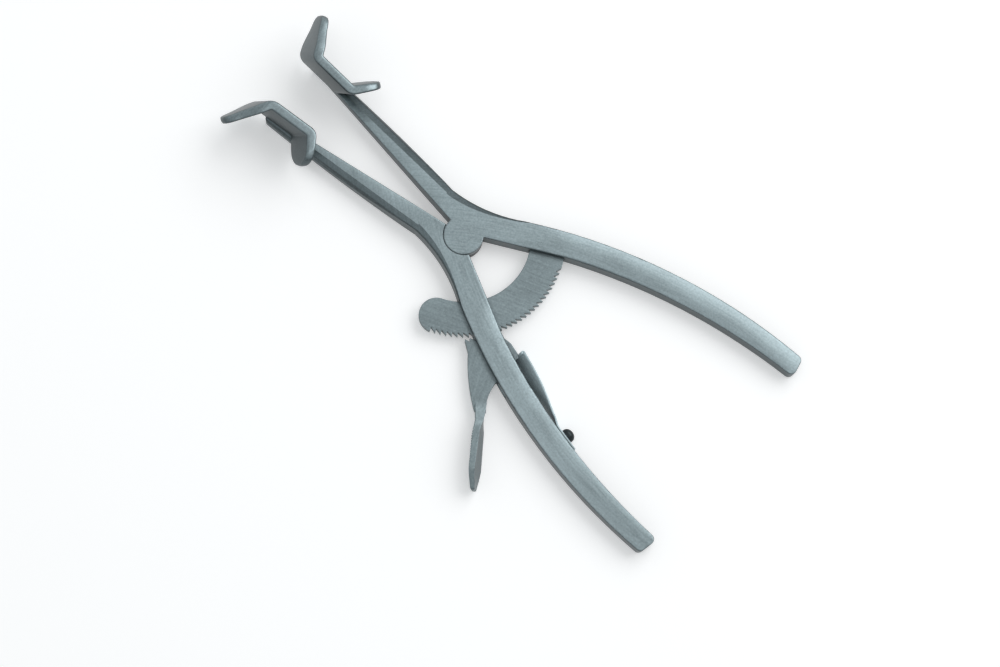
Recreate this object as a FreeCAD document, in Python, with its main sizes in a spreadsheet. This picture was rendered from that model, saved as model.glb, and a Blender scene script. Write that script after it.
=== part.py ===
import FreeCAD, Part
import math
import os
import Sketcher
from FreeCAD import Placement, Rotation, Vector

# A ratchet mouth gag. The two levers turn on the joint pin at the origin, +X points from the pin
# towards the jaws, +Z stands on the flat face of the joint, and the lower lever lies at +Y.
# All lengths are millimetres and all angles degrees.

DIMENSIONS = [
    # Both levers: outline, as distances along X and out from the midline
    ("lever_thick", 5.5),
    ("arm_length", 73.2),
    ("arm_tip_inner", 10.8),
    ("arm_tip_outer", 13.2),
    ("arm_tip_slant", 1.6),
    ("arm_tip_radius", 1.7),
    ("arm_root_x", 4.0),
    ("arm_root_inner", 0.7),
    ("arm_outer_radius", 520.0),
    ("waist_x", 13.0),
    ("waist_outer", 9.0),
    ("waist_radius", 50.0),
    ("shoulder_x", 12.0),
    ("shoulder_outer", 16.7),
    ("handle_outer_radius", 195.0),
    ("handle_length", 108.6),
    ("handle_end_slant", 1.4),
    ("handle_end_inner", 34.2),
    ("handle_end_outer", 40.8),
    ("handle_end_round", 1.8),
    ("handle_inner_radius", 206.0),
    ("notch_x", 4.0),
    ("notch_inner", 2.95),
    ("throat_x", 29.0),
    ("throat_inner", 15.9),
    # Both levers: thickness and bevels
    ("arm_taper_start", 14.0),
    ("arm_taper_end", 56.0),
    ("arm_taper_drop", 1.0),
    ("handle_taper_start", 48.0),
    ("handle_taper_drop", 0.5),
    ("arm_bevel", 1.2),
    ("bevel_run_out", 4.0),
    ("edge_round", 0.35),
    # Half-lap joint
    ("lug_radius", 6.4),
    ("lap_clearance", 0.06),
    ("pin_radius", 1.9),
    ("pin_head", 0.5),
    ("pin_clearance", 0.03),
    # Ratchet bar
    ("bar_inner_radius", 21.6),
    ("bar_tip_radius", 32.9),
    ("bar_thick", 2.0),
    ("bar_root_angle", 38.0),
    ("bar_end_angle", 67.5),
    ("tooth_first_angle", 19.8),
    ("tooth_pitch_angle", 3.14),
    ("tooth_depth", 1.4),
    ("tooth_count", 29),
    ("rivet_radius", 0.8),
    ("rivet_angle", 34.0),
    ("rivet_inner_inset", 3.0),
    ("rivet_outer_inset", 2.5),
    ("seat_clearance", 0.04),
    # Slot of the lower lever
    ("slot_side_clearance", 0.12),
    ("slot_end_clearance", 0.3),
    ("slot_end_x", 42.5),
    ("slot_end_slant", 2.5),
    ("slot_front_x", 25.5),
    ("slot_front_y", 7.9),
    ("slot_from_angle", 20.0),
    ("slot_to_angle", 62.0),
    # Release pawl
    ("pawl_pin_out", 3.24),
    ("pawl_pin_angle", 31.53),
    ("pawl_pin_radius", 0.9),
    ("pawl_lift_angle", 8.0),
    ("pawl_bite", 0.62),
    ("pawl_gap", 0.12),
    ("pawl_backlash_angle", 0.8),
    ("pawl_teeth", 3),
    ("pawl_first_tooth", 19),
    ("pawl_heel_angle", 10.0),
    # Release pawl: corners of its plate, measured from its pin or from its neck
    ("nose_x", 9.4),
    ("nose_y", 4.4),
    ("brow_x", 8.2),
    ("brow_y", 6.6),
    ("back_x", 4.9),
    ("back_y", 8.9),
    ("back_radius", 60.0),
    ("neck_front_x", 1.2),
    ("neck_front_y", 1.5),
    ("neck_rear_x", 1.8),
    ("neck_rear_y", 0.6),
    ("flank_radius", 14.0),
    ("flank_x", 8.1),
    ("flank_y", 8.6),
    ("hollow_x", 7.2),
    ("hollow_y", 3.4),
    ("tail_x", 8.2),
    ("tail_y", 0.2),
    ("tail_end_x", 7.2),
    ("tail_end_y", 1.2),
    ("belly_x", 3.4),
    ("belly_y", 2.3),
    ("chin_x", 1.6),
    ("chin_y", 2.2),
    # Release pawl: neck and thumb grip
    ("neck_back", 10.0),
    ("neck_out", 20.3),
    ("neck_width", 3.6),
    ("grip_length", 25.5),
    ("grip_overlap", 2.5),
    ("grip_twist", 6.5),
    ("grip_full", 19.0),
    ("grip_angle", 125.5),
    ("grip_height", 6.4),
    ("grip_raise", 0.55),
    ("grip_thick", 1.8),
    ("grip_swell", 0.4),
    ("grip_heel_height", 5.6),
    ("grip_tip_height", 3.8),
    ("grip_tip_round", 0.55),
    ("groove_start", 6.9),
    ("groove_pitch", 0.8),
    ("groove_depth", 0.3),
    ("groove_count", 23),
    # Leaf spring and its screw
    ("screw_x", 66.3),
    ("screw_head_radius", 2.5),
    ("screw_head_rise", 1.9),
    ("screw_shank_radius", 1.2),
    ("screw_length", 4.5),
    ("screw_slot_width", 0.7),
    ("screw_slot_depth", 0.8),
    ("screw_clearance", 0.05),
    ("leaf_thick", 0.6),
    ("leaf_width", 5.0),
    ("leaf_back", 5.0),
    ("leaf_front", 3.6),
    ("leaf_rise_x", 8.0),
    ("leaf_rise", 1.9),
    ("leaf_reach", 29.5),
    ("leaf_tip_rise", 4.85),
    ("leaf_bow_radius", 150.0),
    ("leaf_curl_radius", 0.7),
    ("leaf_lift", 0.06),
    ("leaf_bend_run", 0.2),
    ("screw_rim", 0.5),
    ("screw_dome", 3.125),
    # Jaw plates
    ("plate_thick", 3.2),
    ("plate_height", 13.0),
    ("plate_lean", 29.0),
    ("plate_setback", 3.0),
    ("plate_centre_y", 10.6),
    ("plate_length", 15.6),
    ("plate_slope", 4.0),
    ("front_wing_angle", 60.0),
    ("front_wing_length", 14.6),
    ("rear_wing_angle", 124.0),
    ("rear_wing_length", 11.0),
    ("wing_tip_thick", 2.4),
    ("wing_tip_height", 7.0),
    ("wing_tip_radius", 4.2),
    ("wing_root_offset", 2.6),
    ("wing_tip_trim", 0.6),
    ("wing_shoulder", 2.0),
    ("trim_beyond", 4.0),
    ("trim_reach", 40.0),
    ("bend_inner_radius", 1.5),
    ("bend_outer_radius", 4.0),
]

# The pawl's neck turns into its grip in this many short steps.
TWIST_STEPS = 6

# The two sides of the midline: the sign of Y for each lever.
UPPER = -1
LOWER = 1

doc = FreeCAD.newDocument("mouth_gag")
sheet = doc.addObject("Spreadsheet::Sheet", "dims")
for row, (alias, size) in enumerate(DIMENSIONS, start=1):
    sheet.set(f"A{row}", alias)
    sheet.set(f"B{row}", str(size))
    sheet.setAlias(f"B{row}", alias)
doc.recompute()


def number(formula):
    """The value that a formula over the sheet's cells has now."""
    return float(sheet.evalExpression(formula))


def dim(alias):
    return number(f"dims.{alias}")


# Heights that several pieces share
MID_Z = "dims.lever_thick / 2"
BAR_LOW = "(dims.lever_thick - dims.bar_thick) / 2"
SLOT_HIGH = "(dims.lever_thick + dims.bar_thick) / 2 + dims.slot_side_clearance"
SLOT_TALL = "dims.bar_thick + 2 * dims.slot_side_clearance"
ARM_FACE = "dims.lever_thick - dims.arm_taper_drop"
ROOT_RADIUS = "(dims.bar_tip_radius - dims.tooth_depth)"

# The two rivets, as distances from the joint pin, inside the two edges of the bar
RIVET_PLACES = ("dims.bar_inner_radius + dims.rivet_inner_inset",
                "dims.bar_tip_radius - dims.rivet_outer_inset")

# The pawl's pin stands just outside the ratchet bar, and its neck is placed from the pin.
PAWL_PIN_X = "(-(dims.bar_tip_radius + dims.pawl_pin_out) * cos(dims.pawl_pin_angle))"
PAWL_PIN_Y = "((dims.bar_tip_radius + dims.pawl_pin_out) * sin(dims.pawl_pin_angle))"
NECK_X = f"({PAWL_PIN_X} - dims.neck_back)"
NECK_Y = f"({PAWL_PIN_Y} + dims.neck_out)"

# The jaw plates stand just behind the tips of the arms.
PLATE_X = "(dims.arm_length - dims.plate_setback)"


def new_body(label):
    body = doc.addObject("PartDesign::Body", label)
    body.Label = label
    return body


def origin_plane(body, role):
    return next(plane for plane in body.Origin.OriginFeatures if plane.Role == role)


def new_sketch(body, name, role="XY_Plane", height=None, place=None):
    """A sketch on one of the body's own planes, lifted by a formula or moved by a placement."""
    sketch = body.newObject("Sketcher::SketchObject", f"{body.Label}_{name}")
    sketch.AttachmentSupport = [(origin_plane(body, role), "")]
    sketch.MapMode = "FlatFace"
    if place is not None:
        sketch.AttachmentOffset = place
    if height is not None:
        sketch.setExpression("AttachmentOffset.Base.z", height)
    return sketch


def constrain(sketch, formula, kind, *references):
    """Adds a measured constraint and binds it to its formula."""
    index = sketch.addConstraint(Sketcher.Constraint(kind, *references, number(formula)))
    sketch.setExpression(f"Constraints[{index}]", formula)


def hold_point(sketch, geometry, vertex, corner):
    constrain(sketch, corner[0], "DistanceX", -1, 1, geometry, vertex)
    constrain(sketch, corner[1], "DistanceY", -1, 1, geometry, vertex)


def arc_centre(start, end, radius):
    """Centre of the arc from start to end: left of the run for a positive radius, else right."""
    middle = (start + end) * 0.5
    run = end - start
    reach = math.sqrt(max(radius * radius - run.Length * run.Length / 4, 0.0))
    left = Vector(-run.y, run.x, 0).normalize()
    return middle + left * math.copysign(reach, radius)


def draw_side(sketch, start, end, radius):
    """Draws one side of an outline; returns its index and its first and last vertex."""
    if radius is None:
        return sketch.addGeometry(Part.LineSegment(start, end)), 1, 2
    centre = arc_centre(start, end, radius)
    first, last = (start, end) if radius > 0 else (end, start)
    begin = math.atan2(first.y - centre.y, first.x - centre.x)
    finish = math.atan2(last.y - centre.y, last.x - centre.x)
    circle = Part.Circle(centre, Vector(0, 0, 1), abs(radius))
    side = sketch.addGeometry(Part.ArcOfCircle(circle, begin, finish))
    return (side, 1, 2) if radius > 0 else (side, 2, 1)


def outline(sketch, corners):
    """A closed outline. Each corner is (x, y) or (x, y, radius): two formulas, and a formula for
    the radius of the arc that leaves it, negative where the arc turns right."""
    points = [Vector(number(corner[0]), number(corner[1]), 0) for corner in corners]
    sides = []
    for place, corner in enumerate(corners):
        radius = number(corner[2]) if len(corner) > 2 else None
        following = points[(place + 1) % len(points)]
        sides.append(draw_side(sketch, points[place], following, radius))
    for place, corner in enumerate(corners):
        geometry, first, _ = sides[place]
        before, _, last = sides[place - 1]
        sketch.addConstraint(Sketcher.Constraint("Coincident", before, last, geometry, first))
        hold_point(sketch, geometry, first, corner)
        if len(corner) > 2:
            radius = f"abs({corner[2]})"
            constrain(sketch, radius, "Radius", geometry)


def circle(sketch, radius, x="0", y="0"):
    centre = Vector(number(x), number(y), 0)
    geometry = sketch.addGeometry(Part.Circle(centre, Vector(0, 0, 1), number(radius)))
    hold_point(sketch, geometry, 3, (x, y))
    constrain(sketch, radius, "Radius", geometry)


def feature(body, kind, name, sketch, length=None, reverse=False, symmetric=False):
    """A pad or pocket of a sketch; without a length it runs through everything."""
    step = body.newObject(f"PartDesign::{kind}", f"{body.Label}_{name}")
    step.Profile = sketch
    if length is None:
        step.Type = "ThroughAll"
    else:
        step.setExpression("Length", length)
    step.Reversed = reverse
    if symmetric:
        step.SideType = "Symmetric"
    sketch.Visibility = False
    doc.recompute()
    return step


def polar(radius, angle):
    """A point of the ratchet circle: the angle runs from -X towards +Y."""
    return f"-({radius}) * cos({angle})", f"({radius}) * sin({angle})"


def edges_near(shape, accept):
    """Names of the edges whose middle point passes a test."""
    names = []
    for place, edge in enumerate(shape.Edges, start=1):
        middle = edge.valueAt((edge.FirstParameter + edge.LastParameter) / 2)
        if accept(middle, edge):
            names.append(f"Edge{place}")
    return names


def dress(body, kind, name, accept, size):
    """Rounds (Fillet) or bevels (Chamfer) the chosen edges of the body's last step."""
    base = body.Tip
    step = body.newObject(f"PartDesign::{kind}", f"{body.Label}_{name}")
    step.Base = (base, edges_near(base.Shape, accept))
    step.setExpression("Radius" if kind == "Fillet" else "Size", size)
    doc.recompute()
    return step


# Levers

def lever_outline(body, side):
    """Arm, joint and handle in one outline, from the arm's root round the lever."""
    turn = -side
    sketch = new_sketch(body, "outline")

    def y(formula):
        return f"{side} * ({formula})"

    outline(sketch, [
        ("dims.arm_root_x", y("dims.arm_root_inner")),
        ("dims.arm_length", y("dims.arm_tip_inner"), f"{side} * dims.arm_tip_radius"),
        ("dims.arm_length - dims.arm_tip_slant", y("dims.arm_tip_outer"),
         f"{side} * dims.arm_outer_radius"),
        ("dims.waist_x", y("dims.waist_outer"), f"{turn} * dims.waist_radius"),
        ("-dims.shoulder_x", y("dims.shoulder_outer"), f"{side} * dims.handle_outer_radius"),
        ("dims.handle_end_slant - dims.handle_length", y("dims.handle_end_outer")),
        ("-dims.handle_length", y("dims.handle_end_inner"), f"{turn} * dims.handle_inner_radius"),
        ("-dims.throat_x", y("dims.throat_inner")),
        ("-dims.notch_x", y("dims.notch_inner")),
    ])
    return feature(body, "Pad", "forging", sketch, "dims.lever_thick")


def lever_taper(body):
    """Arms and handles thin evenly on both flat faces, away from the joint."""
    beyond = "(dims.arm_length + 5)"
    behind = "(dims.handle_length + 5)"
    for name, low, drop in (("top", "dims.lever_thick", "-1"), ("bottom", "0", "1")):
        arm_face = f"{low} + {drop} * dims.arm_taper_drop"
        handle_face = f"{low} + {drop} * dims.handle_taper_drop"
        outside = f"{low} - {drop} * 2"
        sketch = new_sketch(body, f"arm_{name}_taper", "XZ_Plane")
        outline(sketch, [
            ("dims.arm_taper_start", low),
            ("dims.arm_taper_end", arm_face),
            (beyond, arm_face),
            (beyond, outside),
            ("dims.arm_taper_start", outside),
        ])
        feature(body, "Pocket", f"arm_{name}_cut", sketch, symmetric=True)
        sketch = new_sketch(body, f"handle_{name}_taper", "XZ_Plane")
        outline(sketch, [
            ("-dims.handle_taper_start", low),
            (f"-{behind}", handle_face),
            (f"-{behind}", outside),
            ("-dims.handle_taper_start", outside),
        ])
        feature(body, "Pocket", f"handle_{name}_cut", sketch, symmetric=True)


def lever_edges(body, side):
    """Round handle end, and two bevels outside the arm that run out along the shoulder."""
    end = dim("handle_end_slant") - dim("handle_length") + 0.6
    half = dim("lever_thick") / 2
    dress(body, "Fillet", "end_round",
          lambda p, e: p.x < end and abs(p.z - half) < 0.1,
          "dims.handle_end_round")
    dress(body, "Fillet", "edge_rounds",
          lambda p, e: p.x < -dim("shoulder_x") and abs(p.z - half) > half - 0.01
          and abs(p.y) > dim("throat_inner"),
          "dims.edge_round")
    stations = [
        ("dims.arm_length + 1", "dims.arm_tip_outer", "dims.arm_bevel + dims.arm_taper_drop"),
        ("dims.waist_x - dims.bevel_run_out", "dims.waist_outer", "0"),
    ]
    for name, face, up in (("top", "dims.lever_thick", 1), ("bottom", "0", -1)):
        sections = []
        for place, (x, y, leg) in enumerate(stations):
            sketch = new_sketch(body, f"bevel_{name}_{place}", "YZ_Plane", height=x)
            outline(sketch, [
                (f"{side} * ({y} + 3)", f"{face} + {up} * 3"),
                (f"{side} * ({y} - {leg} - 3)", f"{face} + {up} * 3"),
                (f"{side} * ({y} + 3)", f"{face} - {up} * ({leg} + 3)"),
            ])
            sections.append(sketch)
        cut = body.newObject("PartDesign::SubtractiveLoft", f"{body.Label}_bevel_{name}")
        cut.Profile = sections[0]
        cut.Sections = sections[1:]
        cut.Ruled = True
        doc.recompute()


def half_lap(body, side):
    """The lug of this lever fills one half of the thickness, the other lever's lug the other."""
    lug = new_sketch(body, "lug", height=f"{MID_Z} + dims.lap_clearance / 2"
                     if side == UPPER else f"{MID_Z} - dims.lap_clearance / 2")
    recess = new_sketch(body, "recess", height=f"{MID_Z} + dims.lap_clearance / 2"
                        if side == UPPER else f"{MID_Z} - dims.lap_clearance / 2")
    circle(recess, "dims.lug_radius + dims.lap_clearance")
    circle(lug, "dims.lug_radius")
    feature(body, "Pocket", "recess_cut", recess, "dims.lever_thick", reverse=side == LOWER)
    half = "dims.lever_thick / 2 - dims.lap_clearance / 2"
    feature(body, "Pad", "lug_pad", lug, half, reverse=side == LOWER)
    hole = new_sketch(body, "pin_hole", height="dims.lever_thick")
    circle(hole, "dims.pin_radius + dims.pin_clearance")
    feature(body, "Pocket", "pin_bore", hole)
    face = dim("lever_thick") if side == UPPER else 0.0
    dress(body, "Chamfer", "pin_countersink",
          lambda p, e: math.hypot(p.x, p.y) < dim("pin_radius") + 0.5 and abs(p.z - face) < 1e-3,
          "dims.pin_head")


def sector(sketch, low_radius, high_radius, from_angle, to_angle):
    """A piece of a ring about the joint pin."""
    outline(sketch, [
        (*polar(low_radius, from_angle), f"-({low_radius})"),
        polar(low_radius, to_angle),
        (*polar(high_radius, to_angle), high_radius),
        polar(high_radius, from_angle),
    ])


def make_upper_lever():
    body = new_body("upper_lever")
    lever_outline(body, UPPER)
    lever_edges(body, UPPER)
    lever_taper(body)
    half_lap(body, UPPER)
    seat = new_sketch(body, "bar_seat", height=f"{BAR_LOW} - dims.seat_clearance")
    sector(seat, "dims.bar_inner_radius - dims.seat_clearance",
           "dims.bar_tip_radius + dims.seat_clearance",
           "-dims.bar_root_angle - 0.1", "-dims.tooth_first_angle")
    feature(body, "Pocket", "bar_seat_cut", seat, "dims.bar_thick + 2 * dims.seat_clearance",
            reverse=True)
    rivets = new_sketch(body, "rivet_holes", height="dims.lever_thick")
    for place in RIVET_PLACES:
        circle(rivets, "dims.rivet_radius + dims.pin_clearance",
               *polar(place, "-dims.rivet_angle"))
    feature(body, "Pocket", "rivet_bores", rivets)
    return body


def screw_frame():
    """Where the spring's screw meets the inner side of the lower handle: X runs along the handle
    towards the joint and Y leaves the handle."""
    end = Vector(-dim("handle_length"), dim("handle_end_inner"), 0)
    throat = Vector(-dim("throat_x"), dim("throat_inner"), 0)
    centre = arc_centre(end, throat, -dim("handle_inner_radius"))
    drop = -dim("screw_x") - centre.x
    radius = dim("handle_inner_radius")
    seat = Vector(-dim("screw_x"), centre.y + math.sqrt(radius * radius - drop * drop), 0)
    away = (centre - seat).normalize()
    along = Vector(-away.y, away.x, 0)
    seat.z = dim("lever_thick") / 2
    return Placement(seat, Rotation(along, away, Vector(0, 0, -1), "ZXY"))


def make_lower_lever():
    body = new_body("lower_lever")
    lever_outline(body, LOWER)
    lever_edges(body, LOWER)
    lever_taper(body)
    half_lap(body, LOWER)
    slot = new_sketch(body, "slot", height=SLOT_HIGH)
    inner = "(dims.bar_inner_radius - dims.slot_end_clearance)"
    far_x = "-dims.slot_end_x"
    outline(slot, [
        (*polar(inner, "dims.slot_from_angle"), f"-{inner}"),
        polar(inner, "dims.slot_to_angle"),
        ("-dims.slot_front_x + dims.slot_end_slant", "dims.handle_end_inner"),
        (f"{far_x} - dims.slot_end_slant", "dims.handle_end_inner"),
        (f"{far_x} + dims.slot_end_slant", "dims.throat_inner"),
        ("-dims.slot_front_x", "dims.slot_front_y"),
    ])
    feature(body, "Pocket", "slot_cut", slot, SLOT_TALL)
    hole = new_sketch(body, "pawl_pin_hole", height="dims.lever_thick")
    circle(hole, "dims.pawl_pin_radius + dims.pin_clearance", PAWL_PIN_X, PAWL_PIN_Y)
    feature(body, "Pocket", "pawl_pin_bore", hole)
    frame = screw_frame()
    turned = Placement(Vector(), Rotation(Vector(1, 0, 0), 90))
    screw_hole = new_sketch(body, "screw_hole", place=frame.multiply(turned))
    circle(screw_hole, "dims.screw_shank_radius + dims.screw_clearance")
    feature(body, "Pocket", "screw_bore", screw_hole, "2 * dims.screw_length", symmetric=True)
    return body


def make_joint_pin():
    """A riveted pin: a round shank between two flush countersunk heads."""
    body = new_body("joint_pin")
    sketch = new_sketch(body, "half_section", "XZ_Plane")
    head = "dims.pin_radius + dims.pin_head"
    outline(sketch, [
        ("0", "0"),
        (head, "0"),
        ("dims.pin_radius", "dims.pin_head"),
        ("dims.pin_radius", "dims.lever_thick - dims.pin_head"),
        (head, "dims.lever_thick"),
        ("0", "dims.lever_thick"),
    ])
    turning = body.newObject("PartDesign::Revolution", "joint_pin_turning")
    turning.Profile = sketch
    turning.ReferenceAxis = (sketch, ["V_Axis"])
    turning.Angle = 360
    sketch.Visibility = False
    doc.recompute()
    return body


# Ratchet

def make_ratchet_bar():
    """A flat bar on a circle about the joint pin, saw teeth outside, steep sides to the root."""
    body = new_body("ratchet_bar")
    blank = new_sketch(body, "blank", height=BAR_LOW)
    root = "-dims.bar_root_angle"
    outline(blank, [
        polar("dims.bar_inner_radius", root),
        (*polar("dims.bar_tip_radius", root), "-dims.bar_tip_radius"),
        (*polar("dims.bar_tip_radius", "dims.bar_end_angle"),
         "-(dims.bar_tip_radius - dims.bar_inner_radius) * 0.5001"),
        (*polar("dims.bar_inner_radius", "dims.bar_end_angle"), "dims.bar_inner_radius"),
    ])
    feature(body, "Pad", "plate", blank, "dims.bar_thick", reverse=False)
    gap = new_sketch(body, "tooth_gap", height=BAR_LOW)
    start = "-dims.tooth_first_angle - dims.tooth_pitch_angle"
    finish = "-dims.tooth_first_angle"
    outside = "dims.bar_tip_radius + 1"
    outline(gap, [
        polar("dims.bar_tip_radius", start),
        polar(outside, start),
        polar(outside, finish),
        polar(ROOT_RADIUS, finish),
    ])
    cut = feature(body, "Pocket", "tooth_cut", gap, "dims.bar_thick", reverse=True)
    teeth = body.newObject("PartDesign::PolarPattern", "ratchet_bar_teeth")
    teeth.Originals = [cut]
    teeth.Axis = (gap, ["N_Axis"])
    teeth.Reversed = True
    teeth.Mode = "Spacing"
    teeth.setExpression("Offset", "dims.tooth_pitch_angle")
    teeth.setExpression("Occurrences", "dims.tooth_count")
    body.Tip = teeth
    doc.recompute()
    holes = new_sketch(body, "rivet_holes", height="dims.lever_thick")
    for place in RIVET_PLACES:
        circle(holes, "dims.rivet_radius + dims.pin_clearance",
               *polar(place, "-dims.rivet_angle"))
    feature(body, "Pocket", "rivet_bores", holes)
    return body


def make_rivets():
    """Two plain rivets through the upper handle and the root of the bar, filed flush."""
    rivets = []
    for name, place in zip(("inner", "outer"), RIVET_PLACES):
        rivet = doc.addObject("Part::Cylinder", f"rivet_{name}")
        x, y = polar(place, "-dims.rivet_angle")
        rivet.setExpression("Radius", "dims.rivet_radius")
        rivet.setExpression("Height", "dims.lever_thick")
        rivet.setExpression("Placement.Base.x", x)
        rivet.setExpression("Placement.Base.y", y)
        rivets.append(rivet)
    group = doc.addObject("Part::Compound", "ratchet_rivets")
    group.Label = "ratchet_rivets"
    group.Links = rivets
    doc.recompute()
    return group


# Release pawl

def ratchet_centre_for_pawl():
    """The joint pin's centre as the pawl sees it at rest, lifted off the teeth about its pin."""
    pin = Vector(number(PAWL_PIN_X), number(PAWL_PIN_Y), 0)
    lift = Rotation(Vector(0, 0, 1), dim("pawl_lift_angle"))
    return Placement(pin - lift.multVec(pin), lift)


def lifted_sketch(body, name):
    return new_sketch(body, name, height=BAR_LOW, place=ratchet_centre_for_pawl())


def make_release_pawl():
    """A flat catch on its pin, teeth towards the bar, a tail for the spring and a thumb grip."""
    body = new_body("release_pawl")
    plate = new_sketch(body, "plate", height=BAR_LOW)
    outline(plate, [
        (f"{PAWL_PIN_X} + dims.nose_x", f"{PAWL_PIN_Y} + dims.nose_y"),
        (f"{PAWL_PIN_X} + dims.brow_x", f"{PAWL_PIN_Y} + dims.brow_y"),
        (f"{PAWL_PIN_X} + dims.back_x", f"{PAWL_PIN_Y} + dims.back_y", "dims.back_radius"),
        (f"{NECK_X} + dims.neck_front_x", f"{NECK_Y} + dims.neck_front_y"),
        (f"{NECK_X} - dims.neck_rear_x", f"{NECK_Y} - dims.neck_rear_y", "-dims.flank_radius"),
        (f"{PAWL_PIN_X} - dims.flank_x", f"{PAWL_PIN_Y} + dims.flank_y"),
        (f"{PAWL_PIN_X} - dims.hollow_x", f"{PAWL_PIN_Y} + dims.hollow_y"),
        (f"{PAWL_PIN_X} - dims.tail_x", f"{PAWL_PIN_Y} - dims.tail_y"),
        (f"{PAWL_PIN_X} - dims.tail_end_x", f"{PAWL_PIN_Y} - dims.tail_end_y"),
        (f"{PAWL_PIN_X} - dims.belly_x", f"{PAWL_PIN_Y} - dims.belly_y"),
        (f"{PAWL_PIN_X} + dims.chin_x", f"{PAWL_PIN_Y} - dims.chin_y"),
    ])
    feature(body, "Pad", "blank", plate, "dims.bar_thick")
    bite_radius = "(dims.bar_tip_radius - dims.pawl_bite)"
    clearing = lifted_sketch(body, "ratchet_side")
    circle(clearing, bite_radius)
    feature(body, "Pocket", "ratchet_side_cut", clearing, "dims.bar_thick", reverse=True)
    heel = lifted_sketch(body, "heel")
    first_gap = ("(-dims.tooth_first_angle - dims.pawl_backlash_angle"
                 " + dims.tooth_pitch_angle * dims.pawl_first_tooth)")
    sector(heel, f"({bite_radius} - 1)", "(dims.bar_tip_radius + dims.pawl_gap)",
           "dims.pawl_heel_angle", first_gap)
    feature(body, "Pocket", "heel_cut", heel, "dims.bar_thick", reverse=True)
    gap = lifted_sketch(body, "tooth_gap")
    finish = f"({first_gap} + dims.tooth_pitch_angle)"
    top = ("(dims.bar_tip_radius + dims.pawl_gap + dims.tooth_depth"
           " * dims.pawl_backlash_angle / dims.tooth_pitch_angle)")
    inside = f"({bite_radius} - 1)"
    outline(gap, [
        polar(inside, first_gap),
        polar(top, first_gap),
        polar(f"{top} - dims.tooth_depth", finish),
        polar(inside, finish),
    ])
    cut = feature(body, "Pocket", "tooth_cut", gap, "dims.bar_thick", reverse=True)
    teeth = body.newObject("PartDesign::PolarPattern", "release_pawl_teeth")
    teeth.Originals = [cut]
    teeth.Axis = (gap, ["N_Axis"])
    teeth.Reversed = True
    teeth.Mode = "Spacing"
    teeth.setExpression("Offset", "dims.tooth_pitch_angle")
    teeth.setExpression("Occurrences", "dims.pawl_teeth")
    body.Tip = teeth
    doc.recompute()
    bore = new_sketch(body, "pin_hole", height="dims.lever_thick")
    circle(bore, "dims.pawl_pin_radius + dims.pin_clearance", PAWL_PIN_X, PAWL_PIN_Y)
    feature(body, "Pocket", "pin_bore", bore)
    make_grip(body)
    return body


def grip_start():
    """Where the grip leaves the neck, and its direction."""
    angle = math.radians(dim("grip_angle"))
    run = Vector(math.cos(angle), math.sin(angle), 0)
    start = Vector(number(NECK_X), number(NECK_Y), dim("lever_thick") / 2)
    return start, run


def grip_station(along):
    """A sketch frame across the grip: X over its thickness, Y up, at a distance along it."""
    start, run = grip_start()
    over = Vector(-run.y, run.x, 0)
    return Placement(start + run * along, Rotation(over, Vector(0, 0, 1), Vector(), "YXZ"))


def grip_plan():
    """A level sketch frame through the grip: X along it and Y over its thickness."""
    start, run = grip_start()
    over = Vector(-run.y, run.x, 0)
    return Placement(start, Rotation(run, over, Vector(0, 0, 1), "ZXY"))


def make_grip(body):
    """The plate is twisted a quarter turn into the grip, which narrows to its tip, and its outer
    face has fine grooves across it."""
    swell = "dims.grip_swell"
    sections = []

    def station(along, wide, tall, rise):
        name = f"grip_section_{len(sections)}"
        sketch = new_sketch(body, name, place=grip_station(number(along)))
        outline(sketch, [
            (f"-({wide}) / 2", f"{rise} - ({tall}) / 2"),
            (f"({wide}) / 2", f"{rise} - ({tall}) / 2"),
            (f"({wide}) / 2", f"{rise} + ({tall}) / 2"),
            (f"-({wide}) / 2", f"{rise} + ({tall}) / 2"),
        ])
        sections.append(sketch)

    for step in range(TWIST_STEPS + 1):
        share = step / TWIST_STEPS
        ease = share * share * (3 - 2 * share)
        along = f"-dims.grip_overlap + {share} * (dims.grip_overlap + dims.grip_twist)"
        wide = f"dims.neck_width + {ease} * (dims.grip_thick + {swell} - dims.neck_width)"
        tall = f"dims.bar_thick + {ease} * (dims.grip_heel_height - dims.bar_thick)"
        station(along, wide, tall, f"{ease} * dims.grip_raise")
    station("dims.grip_full", "dims.grip_thick", "dims.grip_height", "dims.grip_raise")
    station("dims.grip_length", f"dims.grip_thick - {swell}", "dims.grip_tip_height",
            "dims.grip_raise")
    loft = body.newObject("PartDesign::AdditiveLoft", "release_pawl_grip")
    loft.Profile = sections[0]
    loft.Sections = sections[1:]
    loft.Ruled = True
    doc.recompute()
    start, run = grip_start()
    end = dim("grip_length")
    dress(body, "Fillet", "grip_tip", lambda p, e: (p - start).dot(run) > end - 0.01,
          "dims.grip_tip_round")
    groove = new_sketch(body, "groove", place=grip_plan())
    face = f"-(dims.grip_thick + {swell}) / 2"
    half = "dims.groove_pitch / 2"
    outline(groove, [
        (f"dims.groove_start - {half}", f"{face} - dims.groove_depth"),
        (f"dims.groove_start + {half}", f"{face} - dims.groove_depth"),
        ("dims.groove_start", f"{face} + dims.groove_depth"),
    ])
    cut = feature(body, "Pocket", "groove_cut", groove, symmetric=True)
    grooves = body.newObject("PartDesign::LinearPattern", "release_pawl_grooves")
    grooves.Originals = [cut]
    grooves.Direction = (groove, ["H_Axis"])
    grooves.Mode = "Spacing"
    grooves.setExpression("Offset", "dims.groove_pitch")
    grooves.setExpression("Occurrences", "dims.groove_count")
    body.Tip = grooves
    doc.recompute()


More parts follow.
